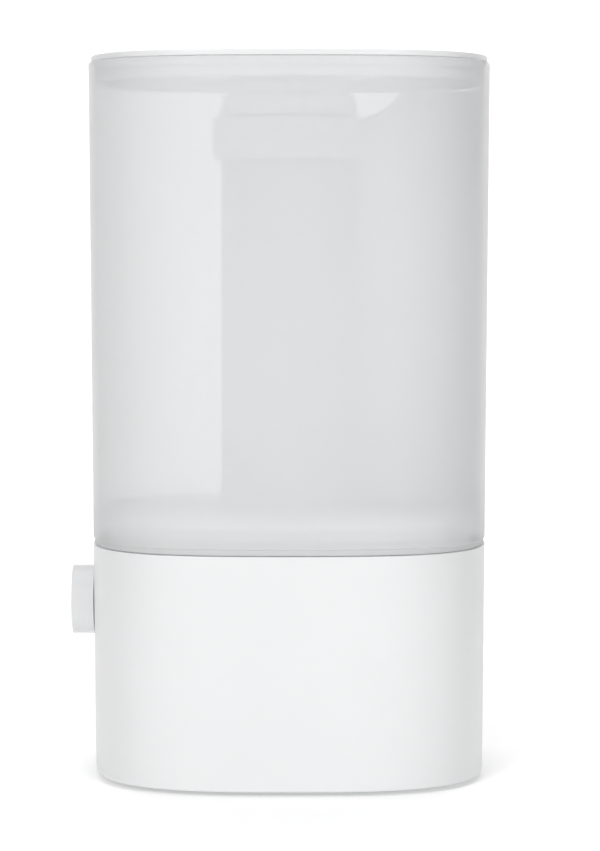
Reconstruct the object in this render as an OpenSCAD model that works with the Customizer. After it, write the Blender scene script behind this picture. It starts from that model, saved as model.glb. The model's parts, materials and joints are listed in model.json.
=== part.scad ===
// Cool mist humidifier: a square-round base with a side knob, a frosted
// top-fill tank with a mist chimney, and a flush lid with a turning nozzle.
// Millimetres, +Z up. The front is -Y, the knob is on -X, and z = 0 is the
// plane that the feet stand on. The chimney's axis is the Z axis.

/* [Body] */
// Half the body's width at the seam between base and tank
seam_half = 82.5; // [82:0.1:83]
// Squareness of the plan outline (2 is a circle, larger is squarer)
square_n = 3; // [2.8:0.1:3.2]
// Growth of the half width for each millimetre of height
draft = 0.0073; // [0.004:0.0001:0.009]
// Straight edges round each outline
outline_k = 96; // [80:8:112]

/* [Base] */
// Height of the rubber feet below the base
foot_h = 2; // [1.6:0.1:2.4]
// Height of the base's top rim above the ground
base_top = 97.4; // [97:0.1:98]
// Thickness of the base's outer wall
base_wall = 2.5; // [2.2:0.1:2.6]
// Height of the tray that the tank stands on
deck_z = 90; // [89.8:0.1:90.1]

/* [Tank] */
// Height where the tank's outer wall starts
tank_z0 = 100.1; // [99.8:0.1:100.4]
// Height of the tank's top edge
tank_top = 297.5; // [297:0.1:297.8]
// Thickness of the tank's wall
tank_wall = 2.4; // [2.2:0.1:2.5]
// Height of the upper face of the tank's floor
floor_z = 110; // [109.8:0.1:110.2]
// Outer diameter of the mist chimney
chimney_d = 57.3; // [57:0.1:57.6]
// Outer diameter of the socket on top of the chimney
socket_d = 64.6; // [64.4:0.1:65]
// Distance of the water valve from the chimney's axis
valve_x = 47.7; // [47:0.1:48.4]

/* [Lid] */
// Height of the lid's top face
lid_top = 300; // [299.9:0.1:300.4]
// How far the lid's edge stands in from the tank's edge
lid_inset = 1; // [0.8:0.1:1.4]
// Outer diameter of the cup that the nozzle turns in
cup_d = 78; // [77:0.1:79]
// Outer diameter of the lid's mist duct
duct_d = 51.8; // [51.6:0.1:52]

/* [Knob] */
// Diameter of the control knob
knob_d = 29.2; // [28:0.1:30]
// Depth of the control knob
knob_depth = 9.8; // [9.5:0.1:10]
// Height of the knob's axis above the ground
knob_z = 71.3; // [71:0.1:72]

/* [Hidden] */
$fn = 64;

// half width of the outer wall at height z
function half_at(z) = seam_half + draft * (z - base_top);

boss = 54;                  // screw bosses at +-boss, +-boss
feet_x = 58; feet_y = 36;   // feet
plate_z = foot_h + 0.2;     // underside of the bottom plate
plate_t = 2.5;
plate_top = plate_z + plate_t;
tray_half = seam_half - base_wall - 0.5;
trough_x = 62; trough_y = 30; trough_t = 2;
trough_z = 60;              // underside of the trough's floor
trough_in = trough_z + trough_t;
fan_x = -26; fan_y = 51;
fan_z = 10; fan_w = 40; fan_h = 15;
float_x = -40;
jack_x = 25; jack_z = 20;
board_c = [10, -38.5]; board_w = 70; board_d = 47; board_z = 20;
standoff = [for (x = [-31, 31], y = [-19.5, 19.5]) [board_c[0] + x, board_c[1] + y]];
chim_r = chimney_d / 2; chim_t = 2;
sock_r = socket_d / 2; sock_z0 = 257.9; sock_z1 = 275.5;
duct_r = duct_d / 2; duct_t = 2;
collar_z0 = 276.2; collar_z1 = 284.6;
cup_r = cup_d / 2; cup_z = 292.7;
lid_z = tank_top + 0.2;     // underside of the lid's plate
stem_z0 = 93;               // lower end of the valve's stem
wall_x = -half_at(knob_z);  // outer wall at the knob

// points of the rounded square outline with half widths a and b
function outline(a, b, n) = [for (i = [0 : outline_k - 1])
  let (t = 360 * i / outline_k, c = cos(t), s = sin(t),
       r = 1 / pow(pow(abs(c) / a, n) + pow(abs(s) / b, n), 1 / n))
  [r * c, r * s]];

// straight prism on the outline
module slab(a, z0, z1) {
  translate([0, 0, z0]) linear_extrude(z1 - z0) polygon(outline(a, a, square_n));
}

// closed solid through the outlines with half widths r[i][0] at heights r[i][1]
module loft(r) {
  k = outline_k; m = len(r);
  pts = [for (q = r) each [for (p = outline(q[0], q[0], square_n)) [p[0], p[1], q[1]]]];
  sides = [for (i = [0 : m - 2], j = [0 : k - 1])
    [i * k + j, (i + 1) * k + j, (i + 1) * k + (j + 1) % k, i * k + (j + 1) % k]];
  polyhedron(points = pts, faces = concat([[for (j = [0 : k - 1]) j]], sides,
    [[for (j = [k - 1 : -1 : 0]) (m - 1) * k + j]]));
}

// rounded rectangle prism
module pad(a, b, z0, z1) {
  translate([0, 0, z0]) linear_extrude(z1 - z0) polygon(outline(a, b, 5));
}

// cylinder between two heights
module rod(r, z0, z1) {
  translate([0, 0, z0]) cylinder(r = r, h = z1 - z0);
}

// ring between two heights
module ring(ro, ri, z0, z1) {
  difference() { rod(ro, z0, z1); rod(ri, z0 - 1, z1 + 1); }
}

// pan-head screw: head from z0 towards -Z, shank towards +Z
module screw_up(head_r, head_h, shank_r, len) {
  rod(head_r, -head_h, 0);
  rod(shank_r, -0.01, len);
}

// ---------------------------------------------------------------- base

module base_shell() {
  z0 = foot_h; z1 = base_top;
  color("white") difference() {
    union() {
      difference() {
        loft([[half_at(z0) - 0.7, z0], [half_at(z0 + 0.8), z0 + 0.8],
              [half_at(z1 - 0.5), z1 - 0.5], [half_at(z1) - 0.4, z1]]);
        loft([[half_at(z0 - 1) - base_wall, z0 - 1], [half_at(z1 + 1) - base_wall, z1 + 1]]);
      }
      // ledge under the tray
      difference() { slab(seam_half - 2, 84.5, 87.4); slab(75.5, 84, 88); }
      // flat seat for the power jack's nut
      translate([jack_x, 77.1, jack_z]) rotate([-90, 0, 0]) cylinder(r = 9.5, h = 2.7);
      // ledge over the bottom plate
      difference() { slab(seam_half - 2.2, plate_top + 0.1, plate_top + 2.1); slab(76, 4, 8); }
    }
    // hole for the knob's bush
    translate([-90, 0, knob_z]) rotate([0, 90, 0]) cylinder(r = 3.6, h = 20);
    // hole and flat pocket for the power jack
    translate([jack_x, 70, jack_z]) rotate([-90, 0, 0]) cylinder(r = 5.6, h = 20);
    translate([jack_x, 80.3, jack_z]) rotate([-90, 0, 0]) cylinder(r = 8, h = 10);
  }
}

module bottom_plate() {
  color("whitesmoke") difference() {
    union() {
      slab(half_at(foot_h) - base_wall - 0.3, plate_z, plate_top);
      for (p = standoff) translate([p[0], p[1], 0]) rod(3, plate_top - 0.5, board_z);
      for (x = [-16, 16], y = [-16, 16])
        translate([fan_x + x, fan_y + y, 0]) rod(3.2, plate_top - 0.5, fan_z);
    }
    // case screws, with recesses for their heads
    for (x = [-boss, boss], y = [-boss, boss]) translate([x, y, 0]) {
      rod(1.6, 0, 8);
      rod(3.8, 0, plate_z + 1.5);
    }
    // seats of the feet
    for (x = [-feet_x, feet_x], y = [-feet_y, feet_y])
      translate([x, y, 0]) rod(7.2, 0, plate_z + 1.1);
    // screw holes in the stand-offs
    for (p = standoff) translate([p[0], p[1], 0]) rod(1.3, 8, board_z + 1);
    for (x = [-16, 16], y = [-16, 16])
      translate([fan_x + x, fan_y + y, 0]) rod(1.4, plate_top + 0.6, fan_z + 1);
    // air intake
    for (i = [-3 : 3])
      translate([fan_x - sqrt(15.5 * 15.5 - 20 * i * i * 0.9), fan_y + i * 4.4 - 1.1, 0])
        cube([2 * sqrt(15.5 * 15.5 - 20 * i * i * 0.9), 2.2, 10]);
  }
}

module rubber_feet() {
  color("dimgray")
    for (x = [-feet_x, feet_x], y = [-feet_y, feet_y])
      translate([x, y, 0]) rotate_extrude()
        polygon([[0, 0], [6.2, 0], [7, 0.8], [7, plate_z + 1.1], [0, plate_z + 1.1]]);
}

module base_screws() {
  color("silver")
    for (x = [-boss, boss], y = [-boss, boss]) translate([x, y, plate_z + 1.5])
      difference() {
        screw_up(3.4, 1.3, 1.45, 13);
        translate([-2.4, -0.4, -2]) cube([4.8, 0.8, 1.3]);
      }
}

module base_tray() {
  color("white") difference() {
    union() {
      slab(tray_half, 87.5, deck_z);
      for (x = [-boss, boss], y = [-boss, boss])
        translate([x, y, 0]) rod(4, plate_top, 88);
    }
    pad(trough_x - trough_t, trough_y - trough_t, 80, 100);
    translate([fan_x, fan_y, 0]) rod(18.05, 80, 110);
    for (x = [-boss, boss], y = [-boss, boss]) translate([x, y, 0]) rod(1.5, 0, 20);
  }
}

module water_trough() {
  color("white") difference() {
    union() {
      difference() {
        union() {
          pad(trough_x, trough_y, trough_z, 87);
          pad(trough_x + 2.5, trough_y + 2.5, 85.5, 87.5);
          rod(16, 54, trough_z + 0.5);
        }
        pad(trough_x - trough_t, trough_y - trough_t, trough_in, 100);
      }
      // post that holds the tank's valve open
      translate([valve_x, 0, 0]) rod(3, trough_in - 0.5, stem_z0 - 0.1);
      // stem that the float slides on
      translate([float_x, 0, 0]) rod(4, trough_in - 0.5, 86);
    }
    // window over the transducer and its seat
    rod(8.6, 50, 70);
    rod(11.5, 50, 58.4);
    for (a = [90, 210, 330]) rotate(a) translate([13.6, 0, 0]) rod(1, 50, 59);
    translate([float_x, 0, 0]) rod(2.3, 50, 80);
  }
}

module transducer_disc() {
  color("goldenrod") rod(10, 56.5, 57.7);
}

module transducer_seal() {
  color("darkgray") rotate_extrude()
    polygon([[8.6, 55.8], [11.4, 55.8], [11.4, 58.3], [8.6, 58.3], [8.6, 57.8],
             [10.1, 57.8], [10.1, 56.4], [8.6, 56.4]]);
}

module transducer_clamp() {
  color("silver") difference() {
    union() { rod(15.8, 52, 54); rod(11.3, 53.9, 55.7); }
    rod(8.6, 50, 60);
    for (a = [90, 210, 330]) rotate(a) translate([13.6, 0, 0]) rod(1.1, 50, 60);
  }
}

module clamp_screws() {
  color("silver")
    for (a = [90, 210, 330]) rotate(a) translate([13.6, 0, 52]) screw_up(2, 1.2, 0.95, 5.6);
}

module driver_board() {
  color("green") translate([board_c[0], board_c[1], 0]) difference() {
    translate([-board_w / 2, -board_d / 2, board_z]) cube([board_w, board_d, 1.6]);
    for (x = [-31, 31], y = [-19.5, 19.5]) translate([x, y, 0]) rod(1.5, 10, 30);
  }
}

module heat_sink() {
  color("silver") translate([board_c[0] + 10, board_c[1] - 2, board_z + 1.6]) {
    translate([-13, -10, 0]) cube([26, 20, 3]);
    for (i = [0 : 5]) translate([-13 + i * 4.9, -10, 2.5]) cube([1.5, 20, 14]);
  }
}

module driver_capacitors() {
  color("navy") translate([board_c[0] - 22, board_c[1], 0]) {
    translate([0, -9, 0]) rod(5, board_z + 1.6, board_z + 15);
    translate([0, 5, 0]) rod(4, board_z + 1.6, board_z + 12);
  }
}

module driver_coil() {
  color("peru") translate([board_c[0] - 12, board_c[1] + 14, 0])
    ring(7.5, 3, board_z + 1.6, board_z + 8);
}

module board_screws() {
  color("silver") for (p = standoff) translate([p[0], p[1], board_z + 1.6])
    mirror([0, 0, 1]) screw_up(2.6, 1.3, 1.25, 9);
}

module control_board() {
  color("green") translate([-70.6, -15, 58]) cube([1.6, 30, 25.5]);
}

module potentiometer_body() {
  color("slategray") translate([0, 0, knob_z]) rotate([0, -90, 0]) difference() {
    union() {
      rod(8, 70.6, -wall_x - base_wall - 0.2);
      rod(3.5, -wall_x - base_wall - 0.3, 86.2);
    }
    rod(3.06, 74, 90);
  }
}

module potentiometer_nut() {
  color("silver") translate([0, 0, knob_z]) rotate([0, -90, 0]) difference() {
    translate([0, 0, -wall_x + 0.1]) cylinder(r = 5.6, h = 1.8, $fn = 6);
    rod(3.55, 80, 90);
  }
}

module potentiometer_shaft() {
  color("silver") translate([0, 0, knob_z]) rotate([0, -90, 0]) rod(3, 74.6, 90.9);
}

module control_knob() {
  x0 = -wall_x + 0.3; h = knob_depth; r = knob_d / 2;
  color("white") translate([0, 0, knob_z]) rotate([0, -90, 0])
    translate([0, 0, x0]) rotate_extrude()
      polygon([[7, 0], [r - 0.4, 0], [r, 0.4], [r, h - 1.5], [r - 0.35, h - 0.8],
               [r - 1.1, h - 0.35], [r - 3, h - 0.2], [r - 8, h - 0.05], [0, h],
               [0, 90.9 - x0], [3, 90.9 - x0], [3, 5.4], [7, 5.4]]);
}

module power_jack() {
  color("black") translate([jack_x, 0, jack_z]) rotate([-90, 0, 0]) {
    difference() {
      union() { rod(5.5, 66, 80.4); rod(7.4, 80.3, 81.3); }
      rod(2.9, 71.5, 82);
    }
    rod(1.05, 71, 80.4);
  }
}

module jack_nut() {
  color("silver") translate([jack_x, 0, jack_z]) rotate([-90, 0, 0]) difference() {
    translate([0, 0, 74.7]) cylinder(r = 8.4, h = 2.4, $fn = 6);
    rod(5.55, 70, 80);
  }
}

module fan_housing() {
  color("dimgray") translate([fan_x, fan_y, 0]) difference() {
    union() {
      difference() {
        translate([-fan_w / 2, -fan_w / 2, fan_z]) cube([fan_w, fan_w, fan_h]);
        rod(18.6, 0, 40);
      }
      rod(8, fan_z, fan_z + 2.5);
      rod(2.2, fan_z, fan_z + 10);
      for (a = [30, 150, 270]) rotate(a)
        translate([6, -1.5, fan_z]) cube([13.4, 3, 2.5]);
    }
    for (x = [-16, 16], y = [-16, 16]) translate([x, y, 0]) rod(1.6, 0, 40);
    rod(1.04, fan_z + 1, 40);
  }
}

module fan_stator() {
  color("peru") translate([fan_x, fan_y, 0]) ring(6.3, 2.25, fan_z + 2.6, fan_z + 9.5);
}

module fan_screws() {
  color("silver") for (x = [-16, 16], y = [-16, 16])
    translate([fan_x + x, fan_y + y, fan_z + fan_h + 2])
      mirror([0, 0, 1]) screw_up(2.6, 1.3, 1.35, 20);
}

module air_duct() {
  z0 = fan_z + fan_h;
  color("lightgray") translate([fan_x, fan_y, 0]) difference() {
    union() {
      translate([-fan_w / 2, -fan_w / 2, z0]) cube([fan_w, fan_w, 2]);
      rod(18, z0, 98);
    }
    rod(16.5, 0, 110);
    for (x = [-16, 16], y = [-16, 16]) translate([x, y, 0]) rod(1.6, 0, 40);
  }
}

module fan_rotor() {
  z0 = fan_z;
  color("black") translate([fan_x, fan_y, 0]) {
    difference() {
      union() {
        rod(8.2, z0 + 3.2, z0 + 14.2);
        for (i = [0 : 6]) rotate(i * 360 / 7)
          translate([12.9, 0, z0 + 8.8]) rotate([38, 0, 0]) cube([10, 1.3, 10.6], center = true);
      }
      rod(7.2, z0, z0 + 12.6);
    }
    rod(1, z0 + 1.4, z0 + 13);
  }
}

module reed_switch() {
  color("darkseagreen") translate([float_x, 0, 0]) rod(2.2, trough_in, 79);
}

module float_retainer() {
  color("white") translate([float_x, 0, 0]) ring(7, 4.04, 84, 86);
}

module float_ring() {
  z0 = trough_in + 0.4;
  color("white") translate([float_x, 0, z0]) rotate_extrude()
    polygon([[4.5, 0], [5.9, 0], [5.9, 4.2], [8.6, 4.2], [8.6, 0], [10.5, 0],
             [11, 0.5], [11, 8.5], [10.5, 9], [4.5, 9]]);
}

module float_magnet() {
  color("gray") translate([float_x, 0, 0]) ring(8.5, 6, trough_in + 0.6, trough_in + 4.5);
}

// ---------------------------------------------------------------- tank

module tank_shell() {
  z0 = tank_z0; z1 = tank_top; t = tank_wall;
  color([0.86, 0.88, 0.9]) difference() {
    union() {
      loft([[half_at(z0) - 0.5, z0], [half_at(z0 + 0.7), z0 + 0.7],
            [half_at(z1 - 0.6), z1 - 0.6], [half_at(z1) - 0.5, z1]]);
      // band in the seam, and the foot that drops inside the base's rim
      slab(half_at(z0) - 0.9, base_top + 0.3, z0 + 0.4);
      slab(79.2, deck_z + 0.2, z0 + 0.5);
    }
    // inside, above the foot
    loft([[half_at(z0 + 2.4) - t, z0 + 2.4], [half_at(z1 + 1) - t, z1 + 1]]);
    slab(76.8, deck_z - 1, z0 + 3);
  }
  // ledge that carries the floor
  color([0.86, 0.88, 0.9]) difference() {
    slab(half_at(z0) - 1.4, floor_z - 4.5, floor_z - 2.5);
    slab(77.4, floor_z - 6, floor_z);
  }
}

module tank_floor() {
  color([0.8, 0.82, 0.84]) difference() {
    slab(half_at(floor_z) - tank_wall - 0.1, floor_z - 2.5, floor_z);
    rod(chim_r + 0.03, 90, 120);
    translate([valve_x, 0, 0]) rod(4.2, 90, 120);
  }
}

module chimney_tube() {
  color([0.82, 0.84, 0.86]) ring(chim_r, chim_r - chim_t, 103, sock_z0);
}

module chimney_socket() {
  color([0.8, 0.82, 0.84]) difference() {
    rod(sock_r, sock_z0, sock_z1);
    rod(sock_r - 2, sock_z0 + 2, 300);
    rod(chim_r - chim_t, 200, 300);
  }
}

module divider_web() {
  z1 = 286.9;
  color([0.8, 0.82, 0.84]) difference() {
    intersection() {
      translate([20, 7, floor_z]) cube([80, 2, z1 - floor_z]);
      slab(half_at(floor_z) - tank_wall - 0.05, floor_z, z1);
    }
    rod(chim_r + 0.02, 100, sock_z0);
    rod(sock_r + 0.02, sock_z0 - 0.01, sock_z1);
    rod(sock_r + 1, sock_z1 - 0.01, 300);
    translate([chim_r, 0, lid_z]) rotate([-90, 0, 0]) cylinder(r = lid_z - collar_z0, h = 30);
  }
}

module valve_housing() {
  color("white") translate([valve_x, 0, 0]) difference() {
    union() {
      rod(11.65, floor_z - 5.2, floor_z - 3.3);
      rod(5.75, 96.6, floor_z - 3.3);
    }
    rod(4.4, 101.5, 120);
    rod(1.86, 90, 120);
    for (a = [0, 120, 240]) rotate(a) translate([3.15, 0, 0]) rod(0.9, 90, 105);
    rod(4.4, 90, 99.6);
  }
}

module valve_gasket() {
  color("darkgray") translate([valve_x, 0, 0]) ring(10.8, 5, floor_z - 3.3, floor_z - 2.5);
}

// closing spring: round wire swept along a helix of five turns
module valve_spring() {
  r = 3.05; w = 0.3; z0 = stem_z0 + 1.25 + w; z1 = 99.55 - w;
  turns = 4; m = turns * 14; k = 6;
  pts = [for (i = [0 : m], j = [0 : k - 1])
    let (a = 360 * turns * i / m, b = 360 * j / k,
         rr = r + w * cos(b), z = z0 + (z1 - z0) * i / m + w * sin(b))
    [rr * cos(a), rr * sin(a), z]];
  sides = [for (i = [0 : m - 1], j = [0 : k - 1])
    let (a = i * k + j, b = i * k + (j + 1) % k)
    [a, b, b + k, a + k]];
  tri = [for (q = sides) each [[q[0], q[2], q[1]], [q[0], q[3], q[2]]]];
  color("silver") translate([valve_x, 0, 0])
    polyhedron(points = pts, faces = concat(tri,
      [[for (j = [0 : k - 1]) j]], [[for (j = [k - 1 : -1 : 0]) m * k + j]]));
}

module valve_plunger() {
  color("white") translate([valve_x, 0, 0]) rotate_extrude()
    polygon([[0, stem_z0], [3.7, stem_z0], [3.7, stem_z0 + 1.2], [1.8, stem_z0 + 1.2],
             [1.8, floor_z + 3.4], [4.9, floor_z + 3.4], [5.3, floor_z + 3.8],
             [5.3, floor_z + 8.2], [4.5, floor_z + 9], [0, floor_z + 9]]);
}

module valve_seal() {
  color("darkgray") translate([valve_x, 0, 0]) ring(5.2, 1.82, floor_z + 2.2, floor_z + 3.4);
}

// ---------------------------------------------------------------- lid

module lid_shell() {
  a = half_at(lid_z) - lid_inset;
  ti = half_at(290) - tank_wall;    // inside of the tank under the lid
  color("white") difference() {
    union() {
      loft([[a - 0.2, lid_z], [a, lid_z + 0.3], [a, lid_top - 0.5], [a - 0.45, lid_top]]);
      slab(ti - 0.4, 294.1, lid_z + 0.1);
      slab(ti - 1.1, 289.5, lid_z + 0.1);
    }
    slab(ti - 3, 280, lid_z);
    rod(cup_r - 2, 280, 310);
  }
}

module lid_seal() {
  ti = half_at(290) - tank_wall;
  color("gainsboro") difference() {
    slab(ti - 0.35, 290, 293.2);
    slab(ti - 1.08, 280, 300);
  }
}

module nozzle_cup() {
  color("lightgray") difference() {
    rod(cup_r, cup_z, lid_z);
    rod(cup_r - 2, cup_z + 2, 310);
    rod(duct_r - duct_t, 280, 310);
  }
}

module mist_duct() {
  color("lightgray") difference() {
    union() {
      rod(duct_r, 262, cup_z);
      rod(chim_r, collar_z0, collar_z1);
    }
    rod(duct_r - duct_t, 250, 310);
  }
}

module duct_seal() {
  color("gainsboro") ring(sock_r - 2.4, duct_r, 266, 269);
}

module mist_nozzle() {
  z0 = cup_z + 2.4; z1 = lid_top - 0.2; r = cup_r - 2.6;
  color("whitesmoke") difference() {
    union() {
      difference() {
        union() {
          rod(r, z0, z1 - 0.5);
          translate([0, 0, z1 - 0.5]) cylinder(r1 = r, r2 = r - 0.5, h = 0.5);
        }
        // shallow dish in the top face
        translate([0, 0, z0 + 2]) cylinder(r1 = r - 6, r2 = r - 4, h = 10);
      }
      // grip across the dish
      translate([-r + 5, 2, z0 + 1]) cube([2 * r - 10, 4, z1 - z0 - 1]);
      // spigot that turns in the duct
      ring(duct_r - duct_t - 0.4, duct_r - duct_t - 2.4, 280, z0 + 0.5);
    }
    // mist outlet
    intersection() {
      rod(18.5, 270, 310);
      translate([-30, -40, 270]) cube([60, 38, 50]);
    }
  }
}

base_shell();
bottom_plate();
rubber_feet();
base_screws();
base_tray();
water_trough();
transducer_disc();
transducer_seal();
transducer_clamp();
clamp_screws();
driver_board();
heat_sink();
driver_capacitors();
driver_coil();
board_screws();
control_board();
potentiometer_body();
potentiometer_nut();
power_jack();
jack_nut();
fan_housing();
fan_stator();
fan_screws();
air_duct();
reed_switch();
float_retainer();
control_knob();
potentiometer_shaft();
float_ring();
float_magnet();
fan_rotor();
tank_shell();
tank_floor();
chimney_tube();
chimney_socket();
divider_web();
valve_housing();
valve_gasket();
valve_spring();
valve_plunger();
valve_seal();
lid_shell();
lid_seal();
nozzle_cup();
mist_duct();
duct_seal();
mist_nozzle();
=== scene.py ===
import json
import math

import bmesh
import bpy
from mathutils import Matrix, Vector


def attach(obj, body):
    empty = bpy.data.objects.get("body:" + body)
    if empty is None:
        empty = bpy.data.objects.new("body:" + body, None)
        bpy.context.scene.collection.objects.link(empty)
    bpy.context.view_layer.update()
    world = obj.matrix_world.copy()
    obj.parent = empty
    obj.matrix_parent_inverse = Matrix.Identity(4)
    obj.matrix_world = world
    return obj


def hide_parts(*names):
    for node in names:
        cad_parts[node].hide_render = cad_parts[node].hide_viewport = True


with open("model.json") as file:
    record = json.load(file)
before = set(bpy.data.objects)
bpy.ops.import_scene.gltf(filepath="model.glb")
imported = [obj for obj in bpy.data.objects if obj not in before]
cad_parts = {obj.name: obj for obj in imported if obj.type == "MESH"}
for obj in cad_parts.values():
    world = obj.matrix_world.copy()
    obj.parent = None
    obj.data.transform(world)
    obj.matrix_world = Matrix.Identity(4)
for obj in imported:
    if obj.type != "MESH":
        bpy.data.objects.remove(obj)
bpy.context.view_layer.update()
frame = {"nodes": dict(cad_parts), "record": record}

MM = 0.001
K = 288            # points round a rounded-square outline
NSE = 3.0          # squareness of the outline
SEAM, DRAFT, RIM_Z = 82.5, 0.0073, 97.4


def half_at(z):
    return SEAM + DRAFT * (z - RIM_Z)


# ------------------------------------------------------------------ mesh code

def unit_outline(n, k):
    pts = []
    for i in range(k):
        t = 2 * math.pi * i / k
        c, s = math.cos(t), math.sin(t)
        r = 1 / (abs(c) ** n + abs(s) ** n) ** (1 / n)
        pts.append((r * c, r * s))
    return pts


SQ = unit_outline(NSE, K)
RD = unit_outline(2.0, K)


def ring(a, z, w=1.0):
    """One ring at height z. w=1 is the rounded square of half width a, w=0 a circle of radius a."""
    return [((SQ[i][0] * w + RD[i][0] * (1 - w)) * a, (SQ[i][1] * w + RD[i][1] * (1 - w)) * a, z)
            for i in range(K)]


def circ(r, z, k=160, cx=0.0, cy=0.0):
    return [(cx + r * math.cos(2 * math.pi * i / k), cy + r * math.sin(2 * math.pi * i / k), z)
            for i in range(k)]


def rounded(path, closed=True, step=0.5, seg=6):
    """path: [(r, z, radius)]. Returns (r, z) points with filleted corners and support points beside them."""
    out = []
    m = len(path)
    for i in range(m):
        p = Vector(path[i][:2])
        rad = path[i][2] if len(path[i]) > 2 else 0.0
        if not closed and i in (0, m - 1):
            out.append((p.x, p.y))
            continue
        a = Vector(path[(i - 1) % m][:2]) - p
        b = Vector(path[(i + 1) % m][:2]) - p
        la, lb = a.length, b.length
        a.normalize(); b.normalize()
        ang = a.angle(b)
        if rad <= 0 or ang > math.radians(179.5):
            out.append((p.x, p.y))
            continue
        d = min(rad / math.tan(ang / 2), la * 0.48, lb * 0.48)
        r = d * math.tan(ang / 2)
        c = p + (a + b).normalized() * (r / math.sin(ang / 2))
        pa, pb = p + a * d, p + b * d
        sup = min(step, 0.3 * rad + 0.15)
        if la * 0.5 > d + sup:
            q = p + a * (d + sup); out.append((q.x, q.y))
        va, vb = pa - c, pb - c
        tot = va.angle(vb)
        sgn = 1 if va.x * vb.y - va.y * vb.x > 0 else -1
        for j in range(seg + 1):
            t = sgn * tot * j / seg
            x = va.x * math.cos(t) - va.y * math.sin(t)
            y = va.x * math.sin(t) + va.y * math.cos(t)
            out.append((c.x + x, c.y + y))
        if lb * 0.5 > d + sup:
            q = p + b * (d + sup); out.append((q.x, q.y))
    return out


def build(name, rings, closed=False, caps=(False, False), smooth=True):
    """Skins the rings. closed joins the last ring to the first; caps close the two ends."""
    me = bpy.data.meshes.new(name)
    bm = bmesh.new()
    vs = [[bm.verts.new((x * MM, y * MM, z * MM)) for x, y, z in r] for r in rings]
    k = len(rings[0])
    pairs = list(zip(vs[:-1], vs[1:]))
    if closed:
        pairs.append((vs[-1], vs[0]))
    for a, b in pairs:
        for j in range(k):
            bm.faces.new((a[j], a[(j + 1) % k], b[(j + 1) % k], b[j]))
    if caps[0]:
        bm.faces.new(vs[0])
    if caps[1]:
        bm.faces.new(vs[-1])
    bmesh.ops.recalc_face_normals(bm, faces=bm.faces)
    bm.to_mesh(me)
    bm.free()
    for p in me.polygons:
        p.use_smooth = smooth
    o = bpy.data.objects.new(name, me)
    bpy.context.scene.collection.objects.link(o)
    return o


def sq_body(name, path, seg=6, extra=()):
    pts = rounded(path, True, seg=seg)
    return build(name, [ring(a, z) for a, z in pts], closed=True)


def lathe(name, path, k=160, cx=0.0, cy=0.0, seg=5, closed=True, caps=(False, False)):
    pts = rounded(path, closed, seg=seg)
    return build(name, [circ(max(r, 0.02), z, k, cx, cy) for r, z in pts], closed=closed, caps=caps)


def turned(o, matrix):
    o.data.transform(matrix)
    return o


def sharpen(o, deg=35):
    o.data.set_sharp_from_angle(angle=math.radians(deg))
    return o


def cut(o, cutters):
    """Cuts solids out of o for good."""
    for c in cutters:
        m = o.modifiers.new("cut", "BOOLEAN")
        m.operation = "DIFFERENCE"
        m.solver = "EXACT"
        m.object = c
    dg = bpy.context.evaluated_depsgraph_get()
    bpy.context.view_layer.update()
    me = bpy.data.meshes.new_from_object(o.evaluated_get(dg), depsgraph=dg)
    o.modifiers.clear()
    o.data = me
    for c in cutters:
        bpy.data.objects.remove(c)
    return o


def join(name, objs):
    bm = bmesh.new()
    for o in objs:
        bm.from_mesh(o.data)
    me = bpy.data.meshes.new(name)
    bm.to_mesh(me)
    bm.free()
    for o in objs:
        bpy.data.objects.remove(o)
    for p in me.polygons:
        p.use_smooth = True
    o = bpy.data.objects.new(name, me)
    bpy.context.scene.collection.objects.link(o)
    return o


def block(name, lo, hi, r=0.6, seg=3):
    """A box with rounded edges."""
    bm = bmesh.new()
    bmesh.ops.create_cube(bm, size=1.0)
    for v in bm.verts:
        v.co = Vector([(lo[i] + (v.co[i] + 0.5) * (hi[i] - lo[i])) * MM for i in range(3)])
    bmesh.ops.bevel(bm, geom=list(bm.edges), offset=r * MM, segments=seg, profile=0.5, affect="EDGES")
    bmesh.ops.recalc_face_normals(bm, faces=bm.faces)
    me = bpy.data.meshes.new(name)
    bm.to_mesh(me)
    bm.free()
    for p in me.polygons:
        p.use_smooth = True
    o = bpy.data.objects.new(name, me)
    bpy.context.scene.collection.objects.link(o)
    sharpen(o, 40)
    return o


# ------------------------------------------------------------------ materials

def nodes_of(name):
    m = bpy.data.materials.new(name)
    m.use_nodes = True
    nt = m.node_tree
    nt.nodes.clear()
    out = nt.nodes.new("ShaderNodeOutputMaterial")
    bs = nt.nodes.new("ShaderNodeBsdfPrincipled")
    nt.links.new(bs.outputs["BSDF"], out.inputs["Surface"])
    tc = nt.nodes.new("ShaderNodeTexCoord")
    return m, nt, bs, tc, out


def noise(nt, tc, scale, detail=2.0, rough=0.5, distort=0.0, stretch=None):
    n = nt.nodes.new("ShaderNodeTexNoise")
    n.inputs["Scale"].default_value = scale
    n.inputs["Detail"].default_value = detail
    n.inputs["Roughness"].default_value = rough
    n.inputs["Distortion"].default_value = distort
    src = tc.outputs["Object"]
    if stretch:
        mp = nt.nodes.new("ShaderNodeMapping")
        mp.inputs["Scale"].default_value = stretch
        nt.links.new(src, mp.inputs["Vector"])
        src = mp.outputs["Vector"]
    nt.links.new(src, n.inputs["Vector"])
    return n


def ramp(nt, fac, stops):
    r = nt.nodes.new("ShaderNodeValToRGB")
    e = r.color_ramp.elements
    while len(e) < len(stops):
        e.new(0.5)
    for i, (pos, c) in enumerate(stops):
        e[i].position = pos
        e[i].color = (*c, 1) if len(c) == 3 else c
    nt.links.new(fac, r.inputs["Fac"])
    return r


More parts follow.
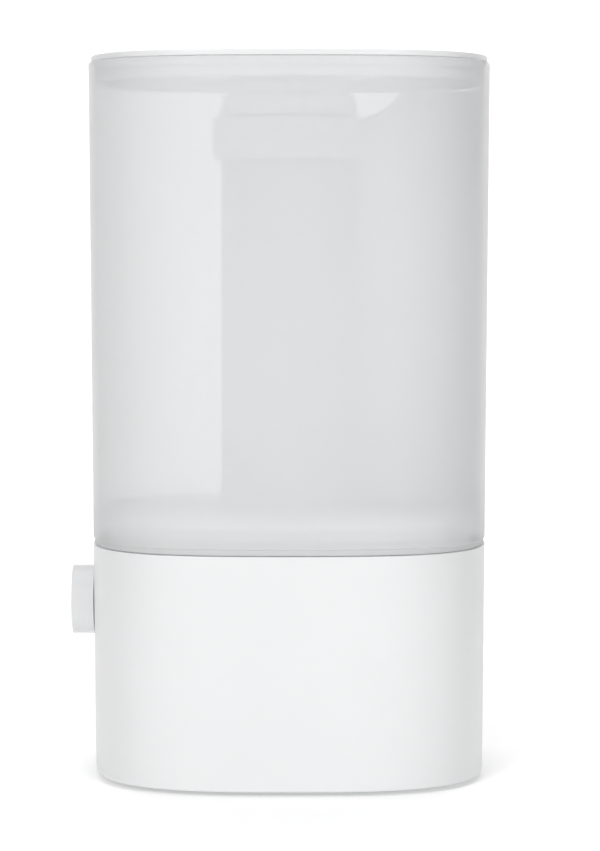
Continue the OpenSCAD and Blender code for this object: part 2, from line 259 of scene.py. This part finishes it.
def span(nt, fac, lo, hi, a=0.3, b=0.7):
    m = nt.nodes.new("ShaderNodeMapRange")
    m.inputs["From Min"].default_value = a
    m.inputs["From Max"].default_value = b
    m.inputs["To Min"].default_value = lo
    m.inputs["To Max"].default_value = hi
    nt.links.new(fac, m.inputs["Value"])
    return m


def bump(nt, bs, layers):
    """layers: [(height socket, strength, distance in metres)], stacked."""
    prev = None
    for h, s, d in layers:
        b = nt.nodes.new("ShaderNodeBump")
        b.inputs["Strength"].default_value = s
        b.inputs["Distance"].default_value = d
        nt.links.new(h, b.inputs["Height"])
        if prev is not None:
            nt.links.new(prev.outputs["Normal"], b.inputs["Normal"])
        prev = b
    nt.links.new(prev.outputs["Normal"], bs.inputs["Normal"])


def tint(c, k):
    return tuple(max(0, min(1, x * k)) for x in c)


def plastic(name, color, rough=0.4, var=0.012, grain=0.35, grain_size=0.0006, rvar=0.05, spec=0.5, coat=0.0):
    """Moulded plastic: fine spark-eroded grain, slow unevenness of gloss and shade."""
    m, nt, bs, tc, out = nodes_of(name)
    slow = noise(nt, tc, 14, 3.0, 0.55)
    mid = noise(nt, tc, 130, 3.0, 0.6)
    fine = noise(nt, tc, 1 / grain_size, 2.0, 0.6)
    col = ramp(nt, slow.outputs["Fac"], [(0.3, tint(color, 1 - var)), (0.7, tint(color, 1 + var))])
    nt.links.new(col.outputs["Color"], bs.inputs["Base Color"])
    rr = span(nt, mid.outputs["Fac"], rough - rvar, rough + rvar)
    nt.links.new(rr.outputs["Result"], bs.inputs["Roughness"])
    bs.inputs["Specular IOR Level"].default_value = spec
    bs.inputs["Coat Weight"].default_value = coat
    bump(nt, bs, [(mid.outputs["Fac"], 0.25, 0.00004), (fine.outputs["Fac"], grain, 0.00003)])
    return m


def metal(name, color, rough=0.3, brushed=None, var=0.05):
    m, nt, bs, tc, out = nodes_of(name)
    n1 = noise(nt, tc, 500, 3.0, 0.6, stretch=brushed)
    n2 = noise(nt, tc, 60, 2.0)
    col = ramp(nt, n2.outputs["Fac"], [(0.3, tint(color, 1 - var)), (0.7, tint(color, 1 + var))])
    nt.links.new(col.outputs["Color"], bs.inputs["Base Color"])
    rr = span(nt, n1.outputs["Fac"], rough - 0.08, rough + 0.12)
    nt.links.new(rr.outputs["Result"], bs.inputs["Roughness"])
    bs.inputs["Metallic"].default_value = 1.0
    bump(nt, bs, [(n1.outputs["Fac"], 0.3, 0.00003)])
    return m


def frosted(name, color, rough=0.42, alpha=0.5, through=0.35, grain=0.35, thick=None, absorb=0.0):
    """Frosted translucent plastic: a milky skin that light soaks through and that lets some sight through.
    thick: (z0, z1, alpha) where the moulding thickens, from z1 down to z0. absorb: milkiness per metre of wall."""
    m, nt, bs, tc, out = nodes_of(name)
    slow = noise(nt, tc, 9, 2.0, 0.5, stretch=(1.0, 1.0, 0.35))
    mid = noise(nt, tc, 160, 3.0, 0.6)
    fine = noise(nt, tc, 1800, 2.0, 0.6)
    col = ramp(nt, slow.outputs["Fac"], [(0.3, tint(color, 0.99)), (0.7, tint(color, 1.01))])
    nt.links.new(col.outputs["Color"], bs.inputs["Base Color"])
    rr = span(nt, mid.outputs["Fac"], rough - 0.05, rough + 0.05)
    nt.links.new(rr.outputs["Result"], bs.inputs["Roughness"])
    bump(nt, bs, [(mid.outputs["Fac"], 0.25, 0.00004), (fine.outputs["Fac"], grain, 0.00003)])
    tl = nt.nodes.new("ShaderNodeBsdfTranslucent")
    nt.links.new(col.outputs["Color"], tl.inputs["Color"])
    mx = nt.nodes.new("ShaderNodeMixShader")
    mx.inputs["Fac"].default_value = through
    nt.links.new(bs.outputs["BSDF"], mx.inputs[1])
    nt.links.new(tl.outputs["BSDF"], mx.inputs[2])
    tr = nt.nodes.new("ShaderNodeBsdfTransparent")
    tr.inputs["Color"].default_value = (1, 1, 1, 1)
    mo = nt.nodes.new("ShaderNodeMixShader")
    mo.inputs["Fac"].default_value = 1 - alpha
    if thick:
        sep = nt.nodes.new("ShaderNodeSeparateXYZ")
        nt.links.new(tc.outputs["Object"], sep.inputs["Vector"])
        see = span(nt, sep.outputs["Z"], 1 - thick[2], 1 - alpha, thick[0], thick[1])
        see.interpolation_type = "SMOOTHSTEP"
        nt.links.new(see.outputs["Result"], mo.inputs["Fac"])
    if absorb:
        va = nt.nodes.new("ShaderNodeVolumeAbsorption")
        va.inputs["Color"].default_value = (0, 0, 0, 1)
        va.inputs["Density"].default_value = absorb
        nt.links.new(va.outputs["Volume"], out.inputs["Volume"])
    nt.links.new(mx.outputs["Shader"], mo.inputs[1])
    nt.links.new(tr.outputs["BSDF"], mo.inputs[2])
    nt.links.new(mo.outputs["Shader"], out.inputs["Surface"])
    return m


WHITE = (0.80, 0.803, 0.81)
MAT = {
    "housing_white": plastic("housing_white", WHITE, rough=0.36, grain=0.3),
    "inner_plastic": plastic("inner_plastic", (0.84, 0.85, 0.855), rough=0.46, grain=0.5),
    "tank_frosted": frosted("tank_frosted", (0.962, 0.967, 0.974), alpha=0.50, through=0.26,
                            thick=(0.103, 0.120, 0.68), absorb=6.0),
    "chimney_frosted": frosted("chimney_frosted", (0.90, 0.905, 0.91), rough=0.5, alpha=0.85, through=0.35),
    "silicone": plastic("silicone", (0.74, 0.76, 0.77), rough=0.55, grain=0.4, spec=0.4),
    "foot_rubber": plastic("foot_rubber", (0.16, 0.16, 0.165), rough=0.75, grain=0.8, grain_size=0.0004, spec=0.3),
    "screw_steel": metal("screw_steel", (0.66, 0.67, 0.69), 0.3),
    "piezo_brass": metal("piezo_brass", (0.78, 0.62, 0.33), 0.28),
    "board_green": plastic("board_green", (0.03, 0.21, 0.08), rough=0.3, var=0.12, grain=0.3, coat=0.3),
    "heatsink_aluminium": metal("heatsink_aluminium", (0.72, 0.73, 0.75), 0.35, brushed=(1, 0.05, 1)),
    "capacitor_blue": plastic("capacitor_blue", (0.05, 0.08, 0.2), rough=0.25, var=0.06, grain=0.15),
    "winding_copper": metal("winding_copper", (0.65, 0.33, 0.17), 0.35, brushed=(1, 1, 14)),
    "black_plastic": plastic("black_plastic", (0.028, 0.028, 0.03), rough=0.5, var=0.1, grain=0.6),
    "grey_metal": metal("grey_metal", (0.5, 0.52, 0.54), 0.42),
    "magnet_ferrite": plastic("magnet_ferrite", (0.1, 0.1, 0.105), rough=0.55, var=0.15, grain=0.9),
    "reed_glass": plastic("reed_glass", (0.4, 0.55, 0.44), rough=0.12, var=0.05, grain=0.05, coat=0.5),
    "spring_steel": metal("spring_steel", (0.62, 0.63, 0.65), 0.25),
}


def finish_piece(o, slot, body, nodes=()):
    o.data.materials.clear()
    o.data.materials.append(MAT[slot])
    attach(o, body)
    if nodes:
        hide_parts(*nodes)
    return o


# every carried-over CAD node takes its procedural material from its slot
for s in frame["record"]["subparts"]:
    o = frame["nodes"][s["node"]]
    if not o.material_slots:
        o.data.materials.append(MAT[s["material_slot"]])
    for ms in o.material_slots:
        ms.material = MAT[s["material_slot"]]

# ------------------------------------------------------------------ base

def hw(z, off=0.0):
    return half_at(z) + off


base = sq_body("base_body", [
    (hw(2), 2.0, 1.1), (hw(97.4), 97.4, 0.35), (hw(97.4, -2.5), 97.4, 0.5), (hw(87.4, -2.5), 87.4),
    (75.5, 87.4, 0.4), (75.5, 84.5, 0.4), (hw(84.5, -2.5), 84.5), (hw(6.8, -2.5), 6.8),
    (76.0, 6.8, 0.3), (76.0, 4.8, 0.3), (hw(4.8, -2.5), 4.8), (hw(2, -2.5), 2.0, 0.4)])
# knob bush hole; jack pocket and hole
jx, jz = 25.0, 20.0
c1 = lathe("c1", [(3.6, 0), (3.6, 14)], k=48, closed=False, caps=(True, True))
c1.data.transform(Matrix.Translation((-0.088, 0, 0.0713)) @ Matrix.Rotation(math.pi / 2, 4, "Y"))
c2 = lathe("c2", [(5.6, 70), (5.6, 80.3), (8, 80.3), (8, 90)], k=64, closed=False, caps=(True, True))
c2.data.transform(Matrix.Translation((jx * MM, 0, jz * MM)) @ Matrix.Rotation(-math.pi / 2, 4, "X"))
cut(base, [c1, c2])
sharpen(base, 40)
finish_piece(base, "housing_white", "base", ["base_shell"])

# ------------------------------------------------------------------ knob
x0, h, r = 82.62, 9.8, 14.6
knob = lathe("knob_body", [
    (3.0, 5.4, 0.2), (3.0, 8.2, 0), (0.0, 8.2, 0), (0.0, h, 0), (6.0, h - 0.04, 3), (10.6, h - 0.14, 1.0),
    (r, h - 0.35, 0.5), (r, 0.0, 0.3), (7.0, 0.0, 0.3), (7.0, 5.4, 0.3)], k=192, seg=8, closed=True)
knob.data.transform(Matrix.Translation((-x0 * MM, 0, 0.0713)) @ Matrix.Rotation(-math.pi / 2, 4, "Y"))
sharpen(knob, 50)
finish_piece(knob, "housing_white", "knob", ["control_knob"])

# ------------------------------------------------------------------ tank
T = 2.4
tank = sq_body("tank_body", [
    (79.2, 90.2, 0.6), (79.2, 97.7, 0.2), (hw(98.0, -0.7), 97.7, 0.3), (hw(100.0, -0.7), 100.1, 0.15),
    (hw(100.1), 100.1, 0.4), (hw(297.5), 297.5, 0.6), (hw(297.5, -T), 297.5, 0.6),
    (hw(102.8, -T), 102.8, 1.0), (76.8, 102.8, 0.8), (76.8, 90.2, 0.6)])
finish_piece(tank, "tank_frosted", "tank", ["tank_shell"])

vx = 47.7


def slab_with_holes(name, a, z0, z1, holes, edge=0.4):
    pts = rounded([(0.02, z0), (a, z0, edge), (a, z1, edge), (0.02, z1)], closed=False, seg=4)
    o = build(name, [ring(p[0], p[1]) for p in pts], caps=(True, True))
    cs = []
    for (hx, hy, hr) in holes:
        c = lathe("c", [(hr, z0 - 5), (hr, z1 + 5)], k=96, cx=hx, cy=hy, closed=False, caps=(True, True))
        cs.append(c)
    cut(o, cs)
    return sharpen(o, 40)


tf = slab_with_holes("tank_floor_plate", hw(110, -T) - 0.15, 107.5, 110.0, [(0, 0, 28.68), (vx, 0, 4.2)])
finish_piece(tf, "chimney_frosted", "tank", ["tank_floor"])

chim = lathe("chimney_body", [(28.65, 103, 0.4), (28.65, 257.9, 0), (26.65, 257.9, 0), (26.65, 103, 0.4)], k=192)
finish_piece(chim, "chimney_frosted", "tank", ["chimney_tube"])
sock = lathe("chimney_socket_body", [
    (26.65, 257.95, 0), (32.3, 257.95, 1.2), (32.3, 275.5, 0.5), (30.3, 275.5, 0.5), (30.3, 259.9, 0.8), (26.65, 259.9, 0)], k=192)
finish_piece(sock, "chimney_frosted", "tank", ["chimney_socket"])

# web from the chimney to the right wall
def web_mesh():
    z0, z1 = 110.0, 286.9
    xin = lambda z: 0
    pts = []
    yc = 8.0
    def wall(z):
        a = hw(z, -T) - 0.1
        return (a ** 3 - yc ** 3) ** (1 / 3)
    xc = math.sqrt(28.67 ** 2 - 49) + 0.02
    xs = math.sqrt(32.33 ** 2 - 49) + 0.02
    xt = math.sqrt(33.3 ** 2 - 49) + 0.02
    poly = [(xc, z0), (wall(z0), z0), (wall(z1), z1)]
    cx, cz, rr = 28.65, 297.7, 21.5
    a0 = math.asin((cz - z1) / rr)
    n = 24
    x_end = xt
    a1 = math.acos((x_end - cx) / rr)
    for i in range(n + 1):
        a = a0 + (a1 - a0) * i / n
        poly.append((cx + rr * math.cos(a), cz - rr * math.sin(a)))
    poly += [(xt, 275.52), (xs, 275.52), (xs, 257.9), (xc, 257.9)]
    me = bpy.data.meshes.new("divider_web_plate")
    bm = bmesh.new()
    a = [bm.verts.new((x * MM, 7.0 * MM, z * MM)) for x, z in poly]
    b = [bm.verts.new((x * MM, 9.0 * MM, z * MM)) for x, z in poly]
    k = len(poly)
    bm.faces.new(a)
    bm.faces.new(b[::-1])
    for j in range(k):
        bm.faces.new((a[j], b[j], b[(j + 1) % k], a[(j + 1) % k]))
    bmesh.ops.recalc_face_normals(bm, faces=bm.faces)
    sharp = [e for e in bm.edges if len(e.link_faces) == 2 and e.calc_face_angle() > 1.2]
    bmesh.ops.bevel(bm, geom=sharp, offset=0.35 * MM, segments=2, profile=0.5, affect="EDGES")
    bm.to_mesh(me)
    bm.free()
    for p in me.polygons:
        p.use_smooth = True
    o = bpy.data.objects.new("divider_web_plate", me)
    bpy.context.scene.collection.objects.link(o)
    return sharpen(o, 30)


finish_piece(web_mesh(), "chimney_frosted", "tank", ["divider_web"])

# ------------------------------------------------------------------ valve
vh = lathe("valve_housing_body", [
    (4.4, 96.6, 0.2), (5.75, 96.6, 0.4), (5.75, 104.8, 0.5), (11.65, 104.8, 0.4), (11.65, 106.7, 0.4), (4.4, 106.7, 0.2),
    (4.4, 101.5, 0.2), (1.9, 101.5, 0.2), (1.9, 99.6, 0.2), (4.4, 99.6, 0.2)], k=96, cx=vx)
finish_piece(vh, "inner_plastic", "tank", ["valve_housing"])
vp = lathe("valve_plunger_body", [
    (0, 93), (3.7, 93, 0.3), (3.7, 94.2, 0.3), (1.8, 94.2, 0.2), (1.8, 113.4, 0.1), (5.3, 113.4, 0.3), (5.3, 119.0, 0.8), (0, 119.0)],
    k=96, cx=vx, closed=False, caps=(True, True))
sharpen(vp, 40)
finish_piece(vp, "inner_plastic", "valve", ["valve_plunger"])

# ------------------------------------------------------------------ lid
LA = half_at(297.7) - 1.0
TI = half_at(290) - 2.4


def lid_mesh():
    path = [(37.0, 297.7, 0), (37.0, 300.0, 0.5), (LA, 300.0, 0.45), (LA, 297.7, 0.3), (TI - 0.4, 297.7, 0.2),
            (TI - 0.4, 294.1, 0.4), (TI - 1.1, 294.1, 0.1), (TI - 1.1, 289.5, 0.4), (TI - 3, 289.5, 0.4), (TI - 3, 297.7, 0.8)]
    pts = rounded(path, True, seg=5)
    rings = []
    for a, z in pts:
        w = 1.0 if a > 60 else 0.0
        rings.append((a, z, w))
    # extra rings across the top and underside, going from circle to rounded square
    out = []
    m = len(rings)
    for i in range(m):
        a, z, w = rings[i]
        out.append(ring(a, z, w))
        b = rings[(i + 1) % m]
        if w != b[2]:
            for t in (0.04, 0.15, 0.3, 0.45, 0.6, 0.75, 0.9, 0.97):
                aa = a + (b[0] - a) * t
                ww = w + (b[2] - w) * t
                zz = z + (b[1] - z) * t
                out.append(ring(aa, zz, ww))
    return build("lid_body", out, closed=True)


lid = lid_mesh()
sharpen(lid, 50)
finish_piece(lid, "housing_white", "lid", ["lid_shell"])
cup = lathe("nozzle_cup_body", [
    (23.9, 292.7, 0.3), (39.0, 292.7, 1.2), (39.0, 297.68, 0), (37.0, 297.68, 0), (37.0, 294.7, 0.8), (23.9, 294.7, 0.3)], k=192)
finish_piece(cup, "inner_plastic", "lid", ["nozzle_cup"])
duct = lathe("mist_duct_body", [
    (23.9, 262, 0.4), (25.9, 262, 0.5), (25.9, 276.2, 0.3), (28.65, 276.2, 0.6), (28.65, 284.6, 0.6), (25.9, 284.6, 0.4),
    (25.9, 292.68, 0), (23.9, 292.68, 0)], k=192)
finish_piece(duct, "inner_plastic", "lid", ["mist_duct"])

# ------------------------------------------------------------------ floor, lights, camera

def stage_floor():
    me = bpy.data.meshes.new("floor")
    bm = bmesh.new()
    prof = [(-3.0, 0.0)]
    prof += [(1.6, 0.0)]
    R = 1.2
    for i in range(1, 17):
        a = math.pi / 2 * i / 16
        prof.append((1.6 + R * math.sin(a), R - R * math.cos(a)))
    prof.append((1.6 + R, 4.0))
    rows = []
    for y, z in prof:
        rows.append([bm.verts.new((x, y, z)) for x in (-4.0, 4.0)])
    for a, b in zip(rows[:-1], rows[1:]):
        bm.faces.new((a[0], a[1], b[1], b[0]))
    bm.to_mesh(me)
    bm.free()
    for p in me.polygons:
        p.use_smooth = True
    o = bpy.data.objects.new("floor", me)
    bpy.context.scene.collection.objects.link(o)
    m = plastic("stage_pale", (0.97, 0.97, 0.97), rough=0.6, var=0.004, grain=0.1, grain_size=0.004, spec=0.2)
    bs = [n for n in m.node_tree.nodes if n.type == "BSDF_PRINCIPLED"][0]
    bs.inputs["Emission Color"].default_value = (1, 1, 1, 1)
    bs.inputs["Emission Strength"].default_value = 0.19
    o.data.materials.append(m)
    return o


stage_floor()


def area(name, loc, target, size, power, color=(1, 1, 1), shape="RECTANGLE", size_y=None):
    l = bpy.data.lights.new(name, "AREA")
    l.shape = shape
    l.size = size
    if size_y:
        l.size_y = size_y
    l.energy = power
    l.color = color
    o = bpy.data.objects.new(name, l)
    o.location = loc
    d = Vector(target) - Vector(loc)
    o.rotation_euler = d.to_track_quat("-Z", "Y").to_euler()
    bpy.context.scene.collection.objects.link(o)
    return o


area("key", (-1.3, -2.6, 1.6), (0, 0, 0.15), 1.2, 39, size_y=1.2)
area("fill", (1.5, -2.6, 1.2), (0, 0, 0.15), 1.2, 24.5, size_y=1.2)
area("top", (0, -0.3, 2.6), (0, -0.3, 0), 1.0, 22, size_y=2.4)
area("back", (0, 1.0, 2.4), (0, 2.7, 0.9), 3.0, 30, size_y=0.8)

w = bpy.data.worlds.new("world")
bpy.context.scene.world = w
w.use_nodes = True
w.node_tree.nodes["Background"].inputs["Color"].default_value = (1, 1, 1, 1)
lp = w.node_tree.nodes.new("ShaderNodeLightPath")
seen = span(w.node_tree, lp.outputs["Is Camera Ray"], 0.15, 1.0, 0.0, 1.0)   # a white studio beyond the floor
w.node_tree.links.new(seen.outputs["Result"], w.node_tree.nodes["Background"].inputs["Strength"])

cam = bpy.data.cameras.new("camera")
cam.sensor_width = 36.0
cam.sensor_fit = "AUTO"
cam.lens = 3194.9 / 851 * 36.0
cam.shift_x = (300 - 289.14) / 851
cam.shift_y = 0.0
cam.clip_end = 20
co = bpy.data.objects.new("camera", cam)
co.location = (0, -1.3568, 0.2268)
co.rotation_euler = (math.pi / 2 - 0.060, 0, 0)
bpy.context.scene.collection.objects.link(co)
bpy.context.scene.camera = co
bpy.context.scene.view_settings.view_transform = "Standard"

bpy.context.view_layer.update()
